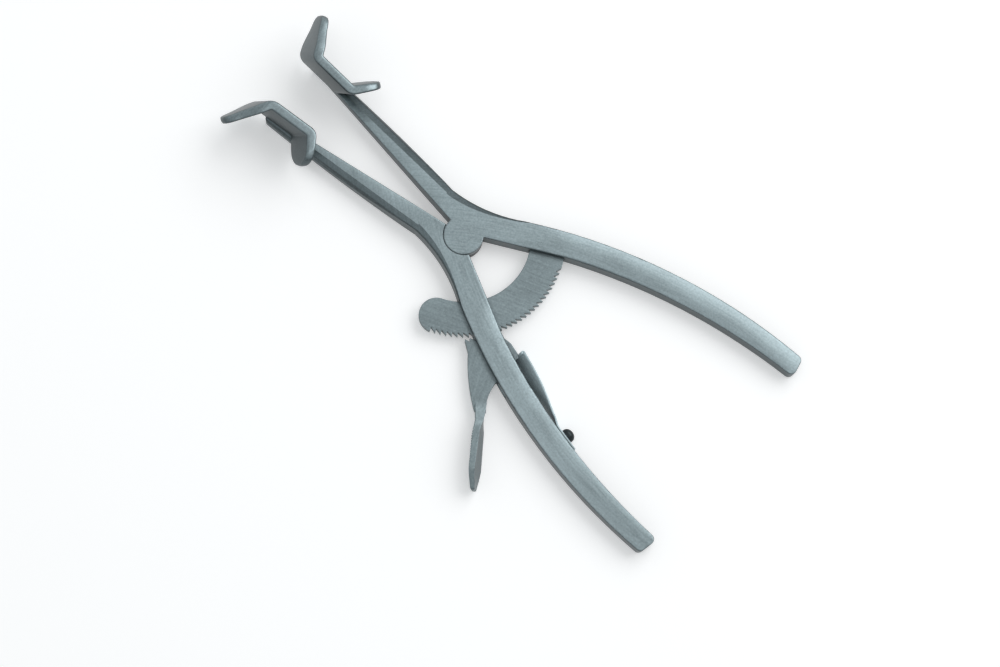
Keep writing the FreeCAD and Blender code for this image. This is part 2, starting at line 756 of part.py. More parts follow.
def make_pawl_pin():
    pin = doc.addObject("Part::Cylinder", "pawl_pin")
    pin.Label = "pawl_pin"
    pin.setExpression("Radius", "dims.pawl_pin_radius")
    pin.setExpression("Height", "dims.lever_thick")
    pin.setExpression("Placement.Base.x", PAWL_PIN_X)
    pin.setExpression("Placement.Base.y", PAWL_PIN_Y)
    doc.recompute()
    return pin


# Leaf spring and screw, each in the frame of the screw's seat on the handle

def make_leaf_spring():
    body = new_body("leaf_spring")
    side = new_sketch(body, "side", height="-dims.leaf_width / 2")
    low = "dims.leaf_lift"
    high = "(dims.leaf_lift + dims.leaf_thick)"
    outline(side, [
        ("-dims.leaf_back", low),
        ("dims.leaf_front", low),
        ("dims.leaf_rise_x", "dims.leaf_rise - dims.leaf_thick", "-dims.leaf_bow_radius"),
        ("dims.leaf_reach", "dims.leaf_tip_rise - dims.leaf_thick / 2"),
        ("dims.leaf_reach", "dims.leaf_tip_rise + dims.leaf_thick / 2", "dims.leaf_bow_radius"),
        ("dims.leaf_rise_x - dims.leaf_bend_run", "dims.leaf_rise"),
        ("dims.leaf_front - dims.leaf_bend_run", high),
        ("-dims.leaf_back", high),
    ])
    feature(body, "Pad", "strip", side, "dims.leaf_width")
    curl = new_sketch(body, "curl", height="-dims.leaf_width / 2")
    circle(curl, "dims.leaf_curl_radius", "dims.leaf_reach", "dims.leaf_tip_rise")
    feature(body, "Pad", "curl_roll", curl, "dims.leaf_width")
    hole = new_sketch(body, "screw_hole", "XZ_Plane")
    circle(hole, "dims.screw_shank_radius + dims.screw_clearance")
    feature(body, "Pocket", "screw_bore", hole, symmetric=True)
    body.Placement = screw_frame()
    doc.recompute()
    return body


def make_spring_screw():
    """A domed head with a slot on a plain shank; Y is the screw's axis."""
    body = new_body("spring_screw")
    sketch = new_sketch(body, "half_section", "XY_Plane")
    seat = "(dims.leaf_lift + dims.leaf_thick)"
    outline(sketch, [
        ("0", "-dims.screw_length"),
        ("dims.screw_shank_radius", "-dims.screw_length"),
        ("dims.screw_shank_radius", seat),
        ("dims.screw_head_radius", seat),
        ("dims.screw_head_radius", f"{seat} + dims.screw_rim", "dims.screw_dome"),
        ("0", f"{seat} + dims.screw_head_rise"),
    ])
    turning = body.newObject("PartDesign::Revolution", "spring_screw_turning")
    turning.Profile = sketch
    turning.ReferenceAxis = (sketch, ["V_Axis"])
    turning.Angle = 360
    sketch.Visibility = False
    doc.recompute()
    slot = new_sketch(body, "slot", "XY_Plane")
    depth = f"{seat} + dims.screw_head_rise - dims.screw_slot_depth"
    outline(slot, [
        ("-dims.screw_slot_width / 2", depth),
        ("dims.screw_slot_width / 2", depth),
        ("dims.screw_slot_width / 2", f"{seat} + dims.screw_head_rise + 1"),
        ("-dims.screw_slot_width / 2", f"{seat} + dims.screw_head_rise + 1"),
    ])
    feature(body, "Pocket", "slot_cut", slot, symmetric=True)
    body.Placement = screw_frame()
    doc.recompute()
    return body


# Jaw plates

def lean_of(side):
    """How far a jaw plate leans for each millimetre of height: back along its own length."""
    return ("-tan(dims.plate_lean) * cos(dims.plate_slope)",
            f"-({side}) * tan(dims.plate_lean) * sin(dims.plate_slope)")


def plate_point(side, along, out):
    """A point of the plate's profile: along its central part and out from the midline."""
    slope = "dims.plate_slope"
    x = f"{PLATE_X} + ({along}) * cos({slope}) - ({out}) * sin({slope})"
    y = f"{side} * (dims.plate_centre_y + ({along}) * sin({slope}) + ({out}) * cos({slope}))"
    return x, y


def wing_point(side, end, angle, length, offset):
    """A point on a wing: the wing leaves an end of the central part at an angle from +X."""
    x = f"({end}) + ({length}) * cos({angle}) - ({offset}) * sin({angle})"
    y = f"({length}) * sin({angle}) + ({offset}) * cos({angle})"
    return plate_point(side, x, y)


def make_jaw_plate(label, side):
    """A bent plate that leans back towards the handles: a central part between two wings."""
    body = new_body(label)
    profile = new_sketch(body, "profile", height=ARM_FACE)
    half = "dims.plate_thick / 2"
    tip = "dims.wing_tip_thick / 2"
    front = "dims.plate_length / 2"
    rear = "-dims.plate_length / 2"
    front_out = f"{half} * tan(dims.front_wing_angle / 2)"
    rear_out = f"{half} * tan((180 - dims.rear_wing_angle) / 2)"
    corners = [
        plate_point(side, f"{rear} - {rear_out}", f"-{half}"),
        plate_point(side, f"{front} + {front_out}", f"-{half}"),
        wing_point(side, front, "dims.front_wing_angle", "dims.front_wing_length", f"-{tip}"),
        wing_point(side, front, "dims.front_wing_angle", "dims.front_wing_length", tip),
        plate_point(side, f"{front} - {front_out}", half),
        plate_point(side, f"{rear} + {rear_out}", half),
        wing_point(side, rear, "dims.rear_wing_angle", "dims.rear_wing_length", f"-{tip}"),
        wing_point(side, rear, "dims.rear_wing_angle", "dims.rear_wing_length", tip),
    ]
    outline(profile, corners)
    pad = feature(body, "Pad", "strip", profile, "dims.plate_height")
    pad.UseCustomVector = True
    pad.AlongSketchNormal = True
    back, aside = lean_of(side)
    pad.Direction = Vector(number(back), number(aside), 1)
    pad.setExpression("Direction.x", back)
    pad.setExpression("Direction.y", aside)
    doc.recompute()
    round_bends(body, side)
    trim_wing(body, side, "front", "dims.front_wing_angle", "dims.front_wing_length", 1)
    trim_wing(body, side, "rear", "dims.rear_wing_angle", "dims.rear_wing_length", -1)
    return body


def round_bends(body, side):
    """Rounds the two bends, tight inside the trough and wide on the side of the other jaw."""
    def bend(place, offset):
        x, y = plate_point(side, place, offset)
        foot = Vector(number(x), number(y), number(ARM_FACE))
        back, aside = lean_of(side)
        return foot + Vector(number(back), number(aside), 1) * (dim("plate_height") / 2)

    half = "dims.plate_thick / 2"
    front_out = f"{half} * tan(dims.front_wing_angle / 2)"
    rear_out = f"{half} * tan((180 - dims.rear_wing_angle) / 2)"
    front = "dims.plate_length / 2"
    rear = "-dims.plate_length / 2"
    outer = [bend(f"{front} + {front_out}", f"-{half}"), bend(f"{rear} - {rear_out}", f"-{half}")]
    inner = [bend(f"{front} - {front_out}", half), bend(f"{rear} + {rear_out}", half)]
    for name, spots, size in (("outer", outer, "dims.bend_outer_radius"),
                              ("inner", inner, "dims.bend_inner_radius")):
        dress(body, "Fillet", f"{name}_bends",
              lambda p, e, spots=spots: any((p - spot).Length < 0.2 for spot in spots), size)


def trim_wing(body, side, name, angle, length, forward):
    """Trims a wing to a tongue that narrows to a rounded tip."""
    end = f"{forward} * dims.plate_length / 2"
    tip_y = wing_point(side, end, angle, f"{length} - dims.wing_tip_trim", "0")[1]
    root_y = f"{side} * (dims.plate_centre_y + dims.wing_root_offset)"
    beyond_y = f"{tip_y} + {side} * dims.trim_beyond"
    low = ARM_FACE
    high = f"{ARM_FACE} + dims.plate_height"
    middle = f"{ARM_FACE} + dims.plate_height / 2"
    shoulder_y = f"{tip_y} - {side} * dims.wing_shoulder"
    turn = -side
    sketch = new_sketch(body, f"{name}_tongue", "YZ_Plane")
    sketch.setExpression("AttachmentOffset.Base.z",
                         f"{PLATE_X} - tan(dims.plate_lean) * dims.plate_height / 2")
    outline(sketch, [
        (root_y, low),
        (root_y, f"{low} - 1"),
        (beyond_y, f"{low} - 1"),
        (beyond_y, f"{high} + 1"),
        (root_y, f"{high} + 1"),
        (root_y, high),
        (shoulder_y, f"{middle} + dims.wing_tip_height / 2", f"{turn} * dims.wing_tip_radius"),
        (shoulder_y, f"{middle} - dims.wing_tip_height / 2"),
    ])
    feature(body, "Pocket", f"{name}_trim", sketch, "dims.trim_reach", reverse=forward > 0)


parts = [
    make_lower_lever(),
    make_upper_lever(),
    make_joint_pin(),
    make_ratchet_bar(),
    make_rivets(),
    make_release_pawl(),
    make_pawl_pin(),
    make_leaf_spring(),
    make_spring_screw(),
    make_jaw_plate("upper_jaw_plate", UPPER),
    make_jaw_plate("lower_jaw_plate", LOWER),
]
doc.recompute()

for item in doc.Objects:
    if "Invalid" in item.State or "Error" in item.State:
        raise RuntimeError(f"{item.Label} failed: {item.State}")
os.makedirs("parts", exist_ok=True)
for part in parts:
    if part.Shape.isNull() or not part.Shape.isValid():
        raise RuntimeError(f"{part.Label} has no valid shape")
    part.Shape.exportStep(f"parts/{part.Label}.step")
    box = part.Shape.BoundBox
    print(f"{part.Label}: {len(part.Shape.Solids)} solids, {part.Shape.Volume:.1f} mm3, "
          f"x {box.XMin:.1f} to {box.XMax:.1f}, y {box.YMin:.1f} to {box.YMax:.1f}, "
          f"z {box.ZMin:.2f} to {box.ZMax:.2f}")
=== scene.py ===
# %% [markdown]
# # A ratchet mouth gag in satin steel
# The real object is a forged surgical instrument about 19 cm long: two levers on a half-lap
# joint, bent plates that hold the jaws, a toothed bar, and a sprung pawl with a thumb grip.
# Its shapes come from the CAD frame, which is loaded first and never moved. Blender adds the
# steel finish, the light and the camera. Five pieces are also made again here with softer
# shapes than the CAD gives them: the two jaw plates, the pawl, the leaf spring and its screw.

# %% Load the frame
import math

import bmesh
import bpy
from mathutils import Matrix, Vector


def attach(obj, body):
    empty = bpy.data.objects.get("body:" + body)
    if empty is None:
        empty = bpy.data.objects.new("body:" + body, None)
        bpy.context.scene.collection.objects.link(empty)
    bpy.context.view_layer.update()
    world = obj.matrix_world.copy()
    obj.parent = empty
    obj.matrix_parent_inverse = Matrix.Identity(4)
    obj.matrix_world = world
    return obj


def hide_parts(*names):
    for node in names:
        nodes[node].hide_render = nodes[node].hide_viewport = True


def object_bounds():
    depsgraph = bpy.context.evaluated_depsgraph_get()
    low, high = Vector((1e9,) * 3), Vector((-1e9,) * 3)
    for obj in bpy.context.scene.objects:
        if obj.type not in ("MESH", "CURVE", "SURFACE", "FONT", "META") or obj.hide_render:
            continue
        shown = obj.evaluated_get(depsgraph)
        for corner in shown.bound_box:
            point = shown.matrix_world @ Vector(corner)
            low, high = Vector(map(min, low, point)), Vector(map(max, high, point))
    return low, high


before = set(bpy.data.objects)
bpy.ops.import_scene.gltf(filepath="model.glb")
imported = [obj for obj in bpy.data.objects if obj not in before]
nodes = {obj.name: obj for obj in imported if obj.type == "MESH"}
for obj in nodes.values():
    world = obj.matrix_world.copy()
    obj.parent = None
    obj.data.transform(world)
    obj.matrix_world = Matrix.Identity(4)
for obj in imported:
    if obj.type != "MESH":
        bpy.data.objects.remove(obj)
cad_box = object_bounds()
scene = bpy.context.scene
print("nodes", sorted(nodes))
print("CAD box", [tuple(round(v, 4) for v in corner) for corner in cad_box])

# %% [markdown]
# ## Millimetres
# Blender works in metres, but a drawing of a small instrument is read in millimetres. Lengths
# could be typed as metres, with many zeros to miscount. So they are written in millimetres
# here, and one small helper turns them into Blender's metres. Only the widths of the floor and
# of the two soft boxes are given in metres, because they are that large.

# %% Millimetres
MM = 0.001


def mm(*values):
    return Vector([value * MM for value in values])


print("ten millimetres are", mm(10, 0, 0).x, "m")

# %% [markdown]
# ## Camera
# The photograph was taken from above the handles, turned so that the jaws point up and to the
# left. A camera could be moved by eye until the outlines agree, but each of its turns shifts
# everything at once. So its place and its axes were solved from points that show both in the
# photograph and on the CAD model, and they are written down here as they came out.

# %% Camera
LENS_LENGTH, SENSOR_WIDTH = 72, 36
CAMERA_PLACE = mm(-88.97, 156.10, 616.31)
CAMERA_RIGHT = Vector((-0.7585, -0.6474, 0.0739))
CAMERA_BACK = Vector((-0.0943, 0.2213, 0.9706))


def make_camera():
    lens = bpy.data.cameras.new("camera")
    lens.lens = LENS_LENGTH
    lens.sensor_width = SENSOR_WIDTH
    camera = bpy.data.objects.new("camera", lens)
    scene.collection.objects.link(camera)
    back = CAMERA_BACK.normalized()
    up = back.cross(CAMERA_RIGHT).normalized()
    right = up.cross(back)
    turn = Matrix((right, up, back)).transposed()
    camera.matrix_world = Matrix.Translation(CAMERA_PLACE) @ turn.to_4x4()
    scene.camera = camera
    return camera


camera = make_camera()
print("camera distance", round(camera.location.length, 3), "m")

# %% [markdown]
# ## Building materials from nodes
# A material in Blender is a tree of nodes: each one takes numbers or colours in and gives one
# out. The tree could be drawn by hand in the node editor. Here it is written in code, because
# the same few steps come back in every finish, so each step gets a helper of its own.

# %% Helpers for node trees
def new_material(name):
    material = bpy.data.materials.new(name)
    material.use_nodes = True
    tree = material.node_tree
    shader = tree.nodes["Principled BSDF"]
    return material, tree, shader


def add_node(tree, kind, **settings):
    node = tree.nodes.new(kind)
    for name, value in settings.items():
        setattr(node, name, value)
    return node


def plug(tree, value, socket):
    """Links an output to a socket, or writes a plain number or colour into it."""
    if isinstance(value, bpy.types.NodeSocket):
        tree.links.new(value, socket)
    else:
        socket.default_value = value


# %% Sums with nodes
def math_node(tree, operation, *values):
    node = add_node(tree, "ShaderNodeMath", operation=operation)
    for place, value in enumerate(values):
        plug(tree, value, node.inputs[place])
    return node.outputs[0]


def product(tree, first, *others):
    """All the values multiplied together."""
    for other in others:
        first = math_node(tree, "MULTIPLY", first, other)
    return first


def smooth_range(tree, value, low, high, start=0.0, end=1.0):
    """Goes smoothly from start to end while the value goes from low to high."""
    node = add_node(tree, "ShaderNodeMapRange", interpolation_type="SMOOTHSTEP")
    plug(tree, value, node.inputs["Value"])
    node.inputs["From Min"].default_value = low
    node.inputs["From Max"].default_value = high
    node.inputs["To Min"].default_value = start
    node.inputs["To Max"].default_value = end
    return node.outputs["Result"]


def split(tree, vector):
    """The x, y and z of a vector."""
    node = add_node(tree, "ShaderNodeSeparateXYZ")
    plug(tree, vector, node.inputs[0])
    return node.outputs


def combine(tree, *parts):
    node = add_node(tree, "ShaderNodeCombineXYZ")
    for place, value in enumerate(parts):
        plug(tree, value, node.inputs[place])
    return node.outputs[0]


# %% [markdown]
# ## Floor
# The instrument lies on plain white. A brighter lamp would whiten the floor, but the steel with
# it. So the floor is almost white by its own colour, and shines a little, only to the camera
# and in what metal and glass mirror. It lies a hair under the handles and takes their shadow.

# %% Floor
FLOOR_HALF = 3.0
FLOOR_GAP = 0.05
FLOOR_COLOUR, FLOOR_ROUGHNESS = (0.9, 0.9, 0.9, 1), 0.9
FLOOR_SHINE, FLOOR_LIFT = (1, 1, 1, 1), 0.3


def floor_lift(tree):
    """FLOOR_LIFT for rays from the camera, a mirror or glass, and 0 for the rest."""
    path = add_node(tree, "ShaderNodeLightPath")
    seen = path.outputs["Is Camera Ray"]
    for ray in ("Is Glossy Ray", "Is Transmission Ray"):
        seen = math_node(tree, "MAXIMUM", seen, path.outputs[ray])
    return product(tree, seen, FLOOR_LIFT)


def floor_paint():
    material, tree, shader = new_material("pale_floor")
    shader.inputs["Base Color"].default_value = FLOOR_COLOUR
    shader.inputs["Roughness"].default_value = FLOOR_ROUGHNESS
    shader.inputs["Specular IOR Level"].default_value = 0.0
    shader.inputs["Emission Color"].default_value = FLOOR_SHINE
    plug(tree, floor_lift(tree), shader.inputs["Emission Strength"])
    return material


def make_floor():
    half, low = FLOOR_HALF, -FLOOR_GAP * MM
    corners = [(-half, -half, low), (half, -half, low), (half, half, low), (-half, half, low)]
    mesh = bpy.data.meshes.new("floor")
    mesh.from_pydata(corners, [], [(0, 1, 2, 3)])
    mesh.materials.append(floor_paint())
    floor = bpy.data.objects.new("floor", mesh)
    scene.collection.objects.link(floor)
    return floor


floor = make_floor()
print("floor", 2 * FLOOR_HALF, "m wide")

# %% [markdown]
# ## Light
# Satin steel blurs whatever stands round it, so the light is made of large soft things: a sun
# or a small lamp would leave hard glints. A wide soft box stands on the upper lever's side, and
# its reflection makes each handle run from pale to darker across its width, as in the
# photograph. A small weak box overhead lifts the flat faces. The room itself is brighter at the
# horizon than overhead, so that the instrument isn't lost in shade when it is seen from a side.

# %% Light
ROOM_COLOUR = (0.94, 0.98, 1.0, 1)
HORIZON_LEVEL, ZENITH_LEVEL = 0.75, 0.38
# Each soft box: name, place in mm, width and depth in m, power in W.
SOFT_BOXES = [
    ("box_at_the_side", (-150, -800, 800), 1.3, 0.9, 6.6),
    ("box_overhead", (100, 150, 1200), 0.5, 0.5, 0.9),
]


def make_world():
    world = bpy.data.worlds.new("room")
    world.use_nodes = True
    tree = world.node_tree
    background = tree.nodes["Background"]
    background.inputs["Color"].default_value = ROOM_COLOUR
    direction = add_node(tree, "ShaderNodeTexCoord")
    height = split(tree, direction.outputs["Generated"])[2]
    level = smooth_range(tree, height, 0.0, 1.0, HORIZON_LEVEL, ZENITH_LEVEL)
    plug(tree, level, background.inputs["Strength"])
    scene.world = world


def make_soft_box(name, place, wide, deep, power):
    light = bpy.data.lights.new(name, "AREA")
    light.shape = "RECTANGLE"
    light.size = wide
    light.size_y = deep
    light.energy = power
    lamp = bpy.data.objects.new(name, light)
    scene.collection.objects.link(lamp)
    lamp.location = mm(*place)
    lamp.rotation_mode = "QUATERNION"
    lamp.rotation_quaternion = (-lamp.location).to_track_quat("-Z", "Y")
    return lamp


make_world()
lamps = [make_soft_box(*box) for box in SOFT_BOXES]
scene.view_settings.view_transform = "Standard"
print("lamps", [lamp.name for lamp in lamps])

# %% [markdown]
# ## Grain of the steel
# A belt grinder leaves faint lines along the way that the piece was drawn over it: round the
# curve of a handle, or straight along a flat part. The lines could be painted in a picture, but
# a picture has to be wrapped round each piece and goes soft close to. Noise that is stretched
# along the grain stays sharp. For that, each place on a piece gets two coordinates, along the
# grain and across it.

# %% Grain directions
def arc_centre(start, end, radius):
    """Centre of the arc through two points, on the left of the run from start to end."""
    middle = (start + end) / 2
    run = end - start
    reach = math.sqrt(radius * radius - run.length_squared / 4)
    left = Vector((-run.y, run.x)).normalized()
    return middle + left * reach


def object_place(tree):
    coordinates = add_node(tree, "ShaderNodeTexCoord")
    return coordinates.outputs["Object"]


def offset(tree, x, y, centre):
    """The way from a point, given in millimetres, to the place x, y, in metres."""
    return (math_node(tree, "SUBTRACT", x, centre[0] * MM),
            math_node(tree, "SUBTRACT", y, centre[1] * MM))


def length(tree, x, y):
    squares = math_node(tree, "ADD", product(tree, x, x), product(tree, y, y))
    return math_node(tree, "SQRT", squares)


def ring_grain(tree, centre):
    """Coordinates along and across circles about a point, in metres: belt lines on a curve."""
    x, y, z = split(tree, object_place(tree))
    across_x, across_y = offset(tree, x, y, centre)
    angle = math_node(tree, "ARCTAN2", across_y, across_x)
    along = product(tree, angle, math.hypot(*centre) * MM)
    return combine(tree, along, length(tree, across_x, across_y), z)


def straight_grain(tree, angle):
    """Coordinates along and across one straight direction, in degrees from +X."""
    x, y, z = split(tree, object_place(tree))
    c = math.cos(math.radians(angle))
    s = math.sin(math.radians(angle))
    along = math_node(tree, "ADD", product(tree, x, c), product(tree, y, s))
    across = math_node(tree, "SUBTRACT", product(tree, y, c), product(tree, x, s))
    return combine(tree, along, across, z)


# %% The handles' curve
HANDLE_RADIUS = 195.0
SHOULDER = Vector((-12.0, 16.7))
HANDLE_END = Vector((-107.2, 40.8))


def handle_centre(side):
    """Centre of the handle's curve for the lever at +Y (side 1) or -Y (side -1)."""
    centre = arc_centre(SHOULDER, HANDLE_END, HANDLE_RADIUS)
    return centre.x, centre.y * side


print("handle curve's centre", [round(v, 1) for v in handle_centre(1)], "mm")

# %% [markdown]
# ## Crowned faces
# The polisher leaves the handles and arms a little rounded across, and files a narrow bevel
# along each arm's outer edge. They could be cut into copies of the levers' meshes, but a bevel
# cut there leaves dark marks round the bores, so the levers stay as the CAD gives them. Instead
# the finish works out how high the face would stand at each place, and shades it as if it did.

# %% The crown across handles and arms
# In mm: the crown's own radius, the handle's middle line as a radius about the centre of its
# curve, the arm's middle line, and the places along the lever between which each crown fades.
CROWN_RADIUS = 26.0
HANDLE_MIDDLE = 191.0
HANDLE_FADE = (-26.0, -14.0)
ARM_START, ARM_END = Vector((8.0, 4.6)), Vector((73.0, 12.0))
ARM_FADE = (8.0, 26.0)


def fade_in(tree, value, ends):
    """0 before the first of two places along the lever and 1 after the second."""
    return smooth_range(tree, value, ends[0] * MM, ends[1] * MM)


def hump(tree, distance):
    """The height of a shallow cylinder at a distance from its crest, all in metres."""
    return product(tree, product(tree, distance, distance), -0.5 / (CROWN_RADIUS * MM))


def handle_crown(tree, x, y, side):
    ring = length(tree, *offset(tree, x, y, handle_centre(side)))
    rounded = hump(tree, math_node(tree, "SUBTRACT", ring, HANDLE_MIDDLE * MM))
    here = math_node(tree, "SUBTRACT", 1.0, fade_in(tree, x, HANDLE_FADE))
    return product(tree, rounded, here)


def arm_crown(tree, x, y, side):
    run = (ARM_END - ARM_START).normalized()
    start = ARM_START * MM
    across = math_node(tree, "SUBTRACT", product(tree, y, run.x * side),
                       product(tree, x, run.y))
    across = math_node(tree, "SUBTRACT", across, start.y * run.x - start.x * run.y)
    return product(tree, hump(tree, across), fade_in(tree, x, ARM_FADE))


# %% The filed bevel
# In mm: the bevel's width and where it fades in, the neck's hollow curve, a point and the
# direction of the arm's straight edge, and the height above which the bevel is filed.
BEVEL_WIDTH, BEVEL_SLOPE, BEVEL_FADE = 2.0, 0.75, (-16.0, 16.0)
NECK_CENTRE, NECK_RADIUS, NECK_END = (14.7, 59.0), 50.4, 13.0
ARM_EDGE, ARM_RUN = (14.0, 9.13), Vector((42.0, 2.99)).normalized()
UPPER_FACE = 4.3


def inside_arm(tree, x, y):
    """How far a place lies inside the arm's straight outer edge."""
    drop_x = math_node(tree, "SUBTRACT", x, ARM_EDGE[0] * MM)
    drop_y = math_node(tree, "SUBTRACT", ARM_EDGE[1] * MM, y)
    return math_node(tree, "ADD", product(tree, drop_x, ARM_RUN.y),
                     product(tree, drop_y, ARM_RUN.x))


def inside_neck(tree, x, y):
    """How far a place lies inside the neck's hollow curve."""
    ring = length(tree, *offset(tree, x, y, NECK_CENTRE))
    return math_node(tree, "SUBTRACT", ring, NECK_RADIUS * MM)


def edge_bevel(tree, side):
    """The bevel along the arm's outer edge, on its upper face, running out along the neck."""
    x, y, z = split(tree, object_place(tree))
    y = product(tree, y, side)
    on_arm = math_node(tree, "GREATER_THAN", x, NECK_END * MM)
    on_neck = math_node(tree, "SUBTRACT", 1.0, on_arm)
    inside = math_node(tree, "ADD", product(tree, inside_arm(tree, x, y), on_arm),
                       product(tree, inside_neck(tree, x, y), on_neck))
    width = product(tree, fade_in(tree, x, BEVEL_FADE), BEVEL_WIDTH * MM)
    depth = math_node(tree, "MAXIMUM", math_node(tree, "SUBTRACT", width, inside), 0.0)
    upper = math_node(tree, "GREATER_THAN", z, UPPER_FACE * MM)
    return product(tree, depth, upper, -BEVEL_SLOPE)


def lever_crown(tree, side):
    """The height of a lever's face: crowned on handle and arm, flat at the joint."""
    x, y, z = split(tree, object_place(tree))
    rounded = math_node(tree, "ADD", handle_crown(tree, x, y, side),
                        arm_crown(tree, x, y, side))
    return math_node(tree, "ADD", rounded, edge_bevel(tree, side))


print("bevel", BEVEL_WIDTH, "mm wide and", BEVEL_WIDTH * BEVEL_SLOPE, "mm deep")

# %% [markdown]
# ## Layers of the finish
# Close to, ground and blasted steel shows three layers: faint belt lines, a fine speckle, and
# broad clouds where the finish is a little uneven. Each could be a picture of its own, but
# three noises of different size do the same and never repeat. Sides are painted darker than
# faces, as painted shade. Narrow seams and gaps between pieces get painted shade too.

# %% Noise
def noise(tree, vector, scale, detail=2.0):
    node = add_node(tree, "ShaderNodeTexNoise")
    plug(tree, vector, node.inputs["Vector"])
    node.inputs["Scale"].default_value = scale
    node.inputs["Detail"].default_value = detail
    return node.outputs["Fac"]


def stretched(tree, vector, along, across):
    """The grain coordinates pressed together along and spread across, so noise turns to lines."""
    node = add_node(tree, "ShaderNodeMapping")
    plug(tree, vector, node.inputs["Vector"])
    node.inputs["Scale"].default_value = (1 / (along * MM), 1 / (across * MM), 1 / (across * MM))
    return node.outputs[0]


def swing(tree, value, amount):
    """Noise from 0 to 1 turned into a factor around 1."""
    return math_node(tree, "MULTIPLY_ADD", value, 2 * amount, 1 - amount)


def tinted(tree, colour, factor):
    """A colour made lighter or darker by a factor."""
    node = add_node(tree, "ShaderNodeVectorMath", operation="SCALE")
    node.inputs[0].default_value = colour
    plug(tree, factor, node.inputs["Scale"])
    return node.outputs[0]


def mix_colour(tree, factor, first, second):
    node = add_node(tree, "ShaderNodeMix", data_type="RGBA")
    plug(tree, factor, node.inputs[0])
    plug(tree, first, node.inputs[6])
    plug(tree, second, node.inputs[7])
    return node.outputs[2]


# %% Where pins and rivets are flush
# The joint pin, the pawl's pin and the bar's two rivets: x, y and reach in mm.
FLUSH_ENDS = [(0.0, 0.0, 3.4), (-30.8, 18.9, 1.9), (-24.81, -16.18, 2.1), (-20.78, -14.55, 2.1)]


def away_from_flush_ends(tree):
    """0 round the ends of pins and rivets, which were ground flush with the face, else 1."""
    x, y, z = split(tree, object_place(tree))
    clear = 1.0
    for centre_x, centre_y, reach in FLUSH_ENDS:
        distance = length(tree, *offset(tree, x, y, (centre_x, centre_y)))
        clear = product(tree, clear, math_node(tree, "GREATER_THAN", distance, reach * MM))
    return clear


print("flush ends", len(FLUSH_ENDS))

# %% Edges, sides and seams
SHARP_EDGE = 0.05
EDGE_GAIN = 3.0
SIDE_TILT, FACE_TILT = 0.6, 0.99
CREVICE_REACH = 1.6
RAYS = 6


def soft_edges(tree, radius):
    """Edges that catch the light as if they were rounded, except at flush ends."""
    rounded = add_node(tree, "ShaderNodeBevel", samples=RAYS)
    reach = math_node(tree, "MULTIPLY_ADD", away_from_flush_ends(tree),
                      (radius - SHARP_EDGE) * MM, SHARP_EDGE * MM)
    plug(tree, reach, rounded.inputs["Radius"])
    return rounded.outputs[0]


def edge_mask(tree, rounded):
    """1 on sharp edges and 0 on flat faces: where the rounded surface leaves the real one."""
    flat = add_node(tree, "ShaderNodeNewGeometry")
    dot = add_node(tree, "ShaderNodeVectorMath", operation="DOT_PRODUCT")
    plug(tree, rounded, dot.inputs[0])
    plug(tree, flat.outputs["Normal"], dot.inputs[1])
    lost = math_node(tree, "SUBTRACT", 1.0, dot.outputs["Value"])
    node = add_node(tree, "ShaderNodeMath", operation="MULTIPLY", use_clamp=True)
    plug(tree, lost, node.inputs[0])
    node.inputs[1].default_value = EDGE_GAIN
    return node.outputs[0]


def painted_side_shade(tree, normal, dark):
    """Painted shade: 1 on faces that look up or down, and darker on the sides."""
    tilt = math_node(tree, "ABSOLUTE", split(tree, normal)[2])
    return smooth_range(tree, tilt, SIDE_TILT, FACE_TILT, start=dark)


def painted_crevice_shade(tree, depth):
    """Painted shade: darker where another face stands close, as in the seams between pieces."""
    hidden = add_node(tree, "ShaderNodeAmbientOcclusion", samples=RAYS)
    hidden.inputs["Distance"].default_value = CREVICE_REACH * MM
    lost = math_node(tree, "SUBTRACT", 1.0, hidden.outputs["AO"])
    lost = product(tree, lost, away_from_flush_ends(tree))
    return math_node(tree, "MULTIPLY_ADD", lost, -depth, 1.0)


# %% [markdown]
# ## The steel itself
# The steel has a soft grey sheen with a touch of blue-green. A plain metal colour with one
# roughness would look like plastic or chrome, so the layers above change its colour, its
# roughness and its small bumps together. One function builds it, and each piece asks for its
# own tone, grain and wear.

# %% Colour, roughness and bumps
# Belt lines are measured in mm, and speckle and clouds in waves to the metre. The shades and
# roughs say how far each layer swings the colour and the roughness.
STEEL = (0.33, 0.40, 0.42)
STEEL_ROUGHNESS = 0.38
BELT_LENGTH, BELT_WIDTH, BELT_DETAIL = 9.0, 0.5, 3.0
SPECKLE = 1700.0
CLOUD, CLOUD_DETAIL = 60.0, 3.0
LINE_SHADE, SPECKLE_SHADE, CLOUD_SHADE = 0.26, 0.3, 0.16
LINE_ROUGH, CLOUD_ROUGH = 0.2, 0.14
# Colour and speckle of the brighter edges, which are partly wear and partly a painted highlight.
WEAR_AND_GLINT_BRIGHT, WEAR_AND_GLINT_SPECKLE = 1.25, 0.2
BUMP_STRENGTH, BUMP_HEIGHT = 0.35, 0.02


def steel_layers(tree, grain):
    """Belt lines, speckle and clouds, each from 0 to 1."""
    belt = stretched(tree, grain(tree), BELT_LENGTH, BELT_WIDTH)
    lines = noise(tree, belt, 1.0, BELT_DETAIL)
    speckle = noise(tree, object_place(tree), SPECKLE)
    cloud = noise(tree, object_place(tree), CLOUD, CLOUD_DETAIL)
    return lines, speckle, cloud


def raised(tree, height, normal, distance, strength=1.0):
    """The surface shaded as if it had this height."""
    bump = add_node(tree, "ShaderNodeBump")
    bump.inputs["Strength"].default_value = strength
    bump.inputs["Distance"].default_value = distance
    plug(tree, height, bump.inputs["Height"])
    plug(tree, normal, bump.inputs["Normal"])
    return bump.outputs[0]


def steel_colour(tree, tone, shade, wear_and_glint, speckle):
    """The shaded steel, with edges brighter: partly wear, partly a painted highlight."""
    base = tinted(tree, [channel * tone for channel in STEEL], shade)
    bright = tinted(tree, [channel * WEAR_AND_GLINT_BRIGHT for channel in STEEL],
                    swing(tree, speckle, WEAR_AND_GLINT_SPECKLE))
    return mix_colour(tree, wear_and_glint, base, bright)


